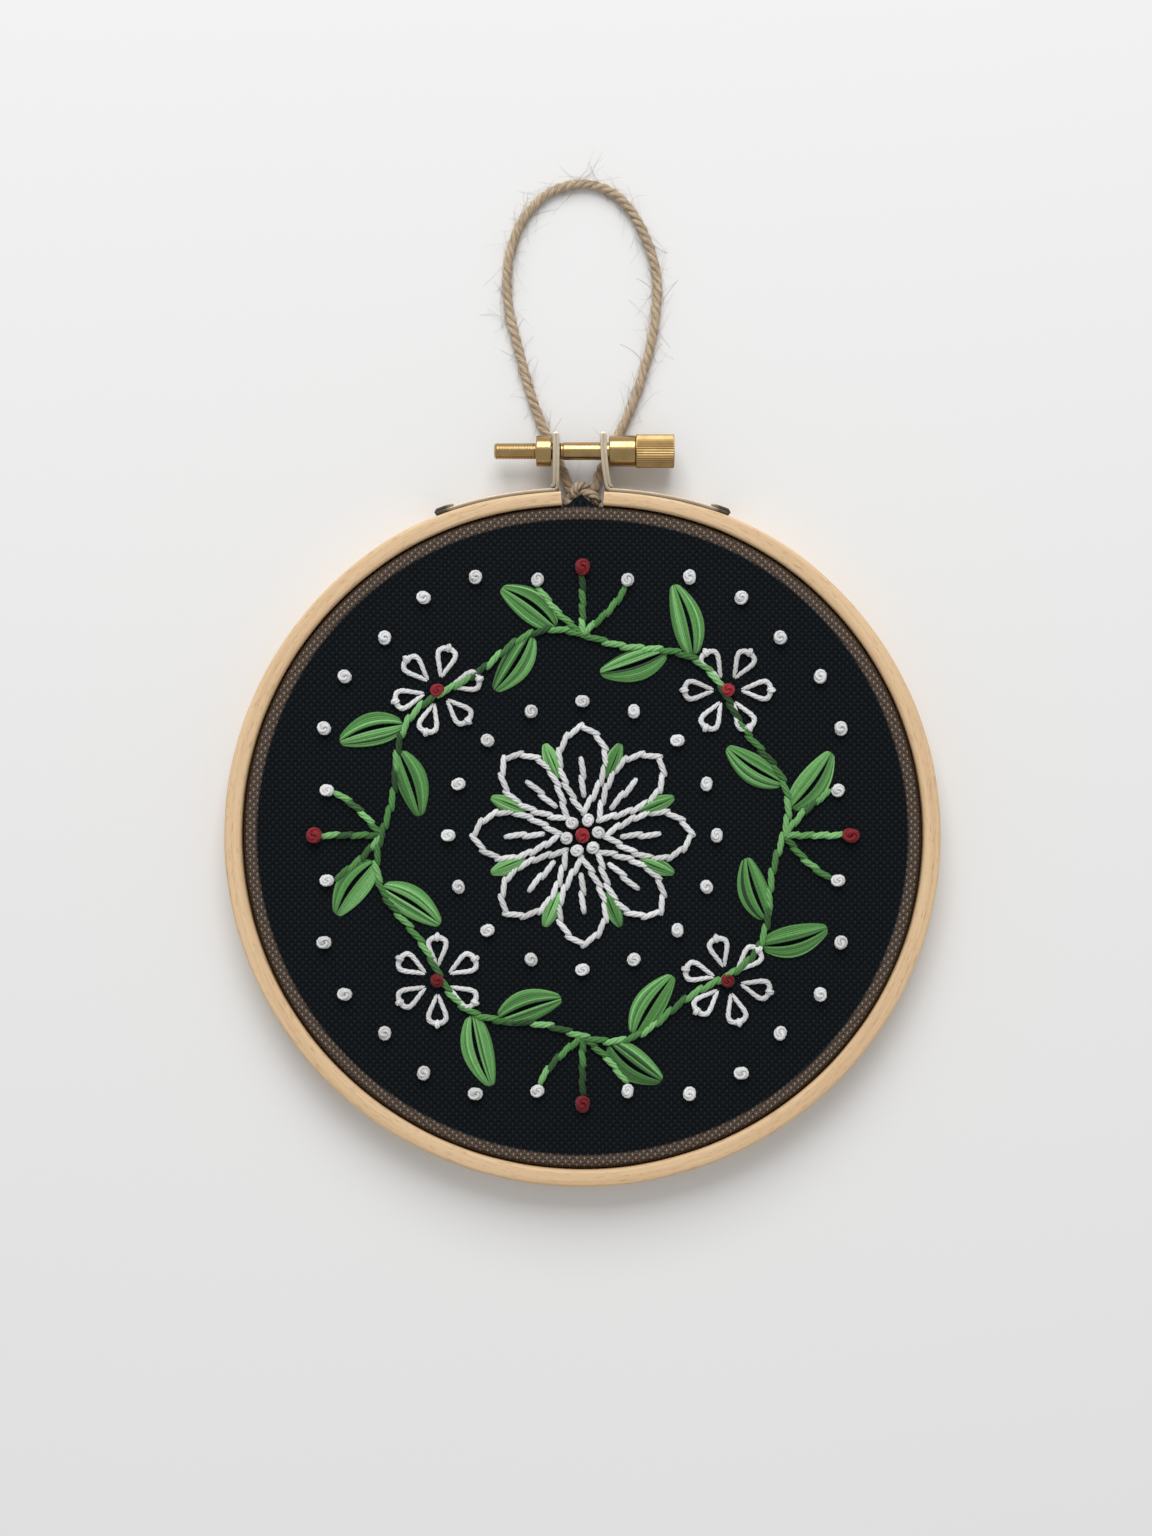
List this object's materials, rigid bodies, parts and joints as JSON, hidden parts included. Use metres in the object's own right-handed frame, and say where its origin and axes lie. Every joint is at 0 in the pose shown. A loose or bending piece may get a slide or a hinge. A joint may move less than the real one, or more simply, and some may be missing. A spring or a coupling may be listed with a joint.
{
  "type": "embroidered cloth in a wooden clamp hoop",
  "caption": "Black cloth with stitched flowers, stretched in a split wooden hoop with a brass clamp screw, metal lugs and a hanging loop of twine.",
  "frame": {"origin": "under the middle of the framed piece without its twine, on the surface that the hoop's back lies on", "axes": "+X to the viewer's right, +Y up the piece towards the clamp screw, +Z out of the cloth's face"},
  "size_m": [0.1604, 0.227, 0.0098],
  "materials": {
    "outer_wood": "pale bare wood, sanded, fine grain along the hoop",
    "inner_wood": "pale bare wood, sanded",
    "black_cloth": "open plain weave, matt black",
    "white_thread": "stranded cotton, soft sheen",
    "green_thread": "stranded cotton, soft sheen",
    "red_thread": "stranded cotton, soft sheen",
    "nickel": "thin nickel plating, slightly dulled",
    "brass": "turned brass, satin",
    "jute": "natural jute twine, hairy and matt"
  },
  "bodies": {
    "hoop": {"hoop_outer": "outer_wood", "hoop_inner": "inner_wood", "cloth": "black_cloth", "bracket_left": "nickel", "bracket_right": "nickel", "twine": "jute", "twine_knot": "jute"},
    "screw": {"screw": "brass"},
    "nut": {"nut": "brass"}
  },
  "joints": [
    {"name": "screw_turn", "type": "hinge", "parent": "hoop", "child": "screw", "pos_m": [0, 0.08053, 0.00605], "axis": [1, 0, 0], "range_deg": [0, 1800]},
    {"name": "nut_travel", "type": "slide", "parent": "hoop", "child": "nut", "axis": [-1, 0, 0], "range_m": [0, 0.0035]}
  ],
  "couplings": [
    {"joint": "screw_turn", "follows": "nut_travel", "rad_per_m": 8976}
  ]
}
